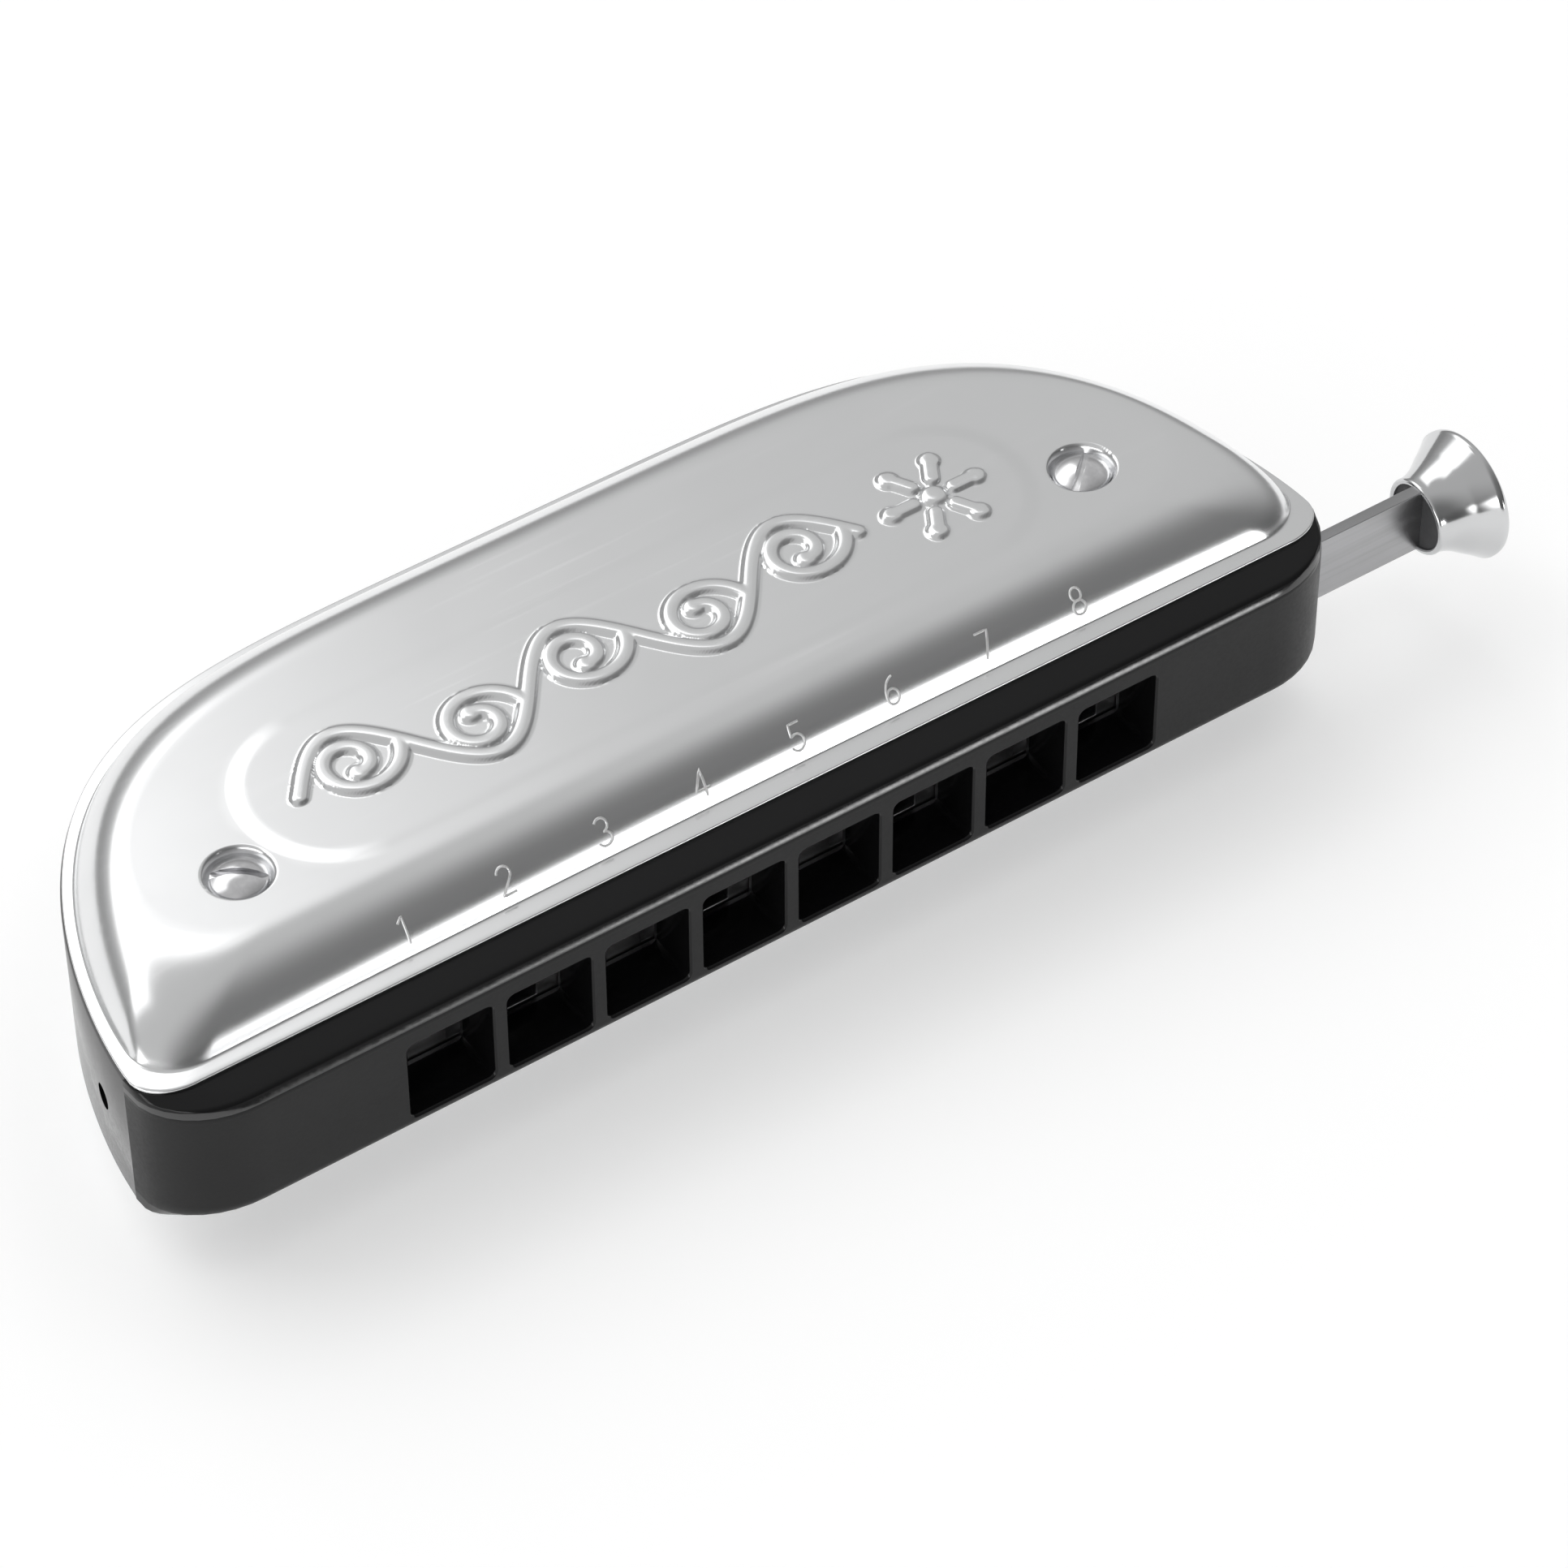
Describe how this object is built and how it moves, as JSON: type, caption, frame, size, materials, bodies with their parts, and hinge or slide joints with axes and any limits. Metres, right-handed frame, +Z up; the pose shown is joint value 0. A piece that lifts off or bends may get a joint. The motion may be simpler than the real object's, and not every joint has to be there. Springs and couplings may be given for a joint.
{
  "type": "chromatic harmonica",
  "caption": "Chromatic harmonica with a curved back, square mouth holes, polished covers and a sprung side slide with a push button.",
  "frame": {"origin": "on the plane the bottom cover's raised panel rests on, below the middle of the cover outline's length", "axes": "+X along the hole row towards the slide button, -Y out of the mouth holes, +Z up through the top cover"},
  "size_m": [0.1429, 0.046, 0.0276],
  "materials": {
    "comb_plastic": "satin moulded",
    "mouthpiece_plastic": "satin front face, glossy bevels",
    "cover_chrome": "polished",
    "plate_brass": "milled",
    "reed_brass": "filed",
    "rivet_brass": "upset heads",
    "valve_film": "translucent film",
    "plate_screw_brass": "turned",
    "slide_steel": "brushed along its length",
    "button_chrome": "polished",
    "spring_steel": "drawn wire",
    "bumper_rubber": "matt",
    "screw_steel": "polished heads"
  },
  "bodies": {
    "housing": {"comb": "comb_plastic", "mouthpiece": "mouthpiece_plastic", "top_cover": "cover_chrome", "bottom_cover": "cover_chrome", "upper_reed_plate": "plate_brass", "lower_reed_plate": "plate_brass", "upper_blow_reeds": "reed_brass", "upper_draw_reeds": "reed_brass", "lower_blow_reeds": "reed_brass", "lower_draw_reeds": "reed_brass", "upper_reed_rivets": "rivet_brass", "lower_reed_rivets": "rivet_brass", "upper_windsavers": "valve_film", "lower_windsavers": "valve_film", "upper_plate_screws": "plate_screw_brass", "lower_plate_screws": "plate_screw_brass", "slide_front_plate": "slide_steel", "slide_back_plate": "slide_steel", "slide_spring": "spring_steel", "spring_guide_pin": "spring_steel", "slide_stop_bumper": "bumper_rubber", "cover_screws": "screw_steel", "cover_sleeve_nuts": "screw_steel"},
    "slide": {"slide": "slide_steel", "slide_button": "button_chrome"}
  },
  "joints": [
    {"name": "slide_press", "type": "slide", "parent": "housing", "child": "slide", "axis": [1, 0, 0], "range_m": [-0.005, 0], "stiffness_N_per_m": 300, "springref_m": 0.004, "deforming": ["slide_spring"]}
  ]
}
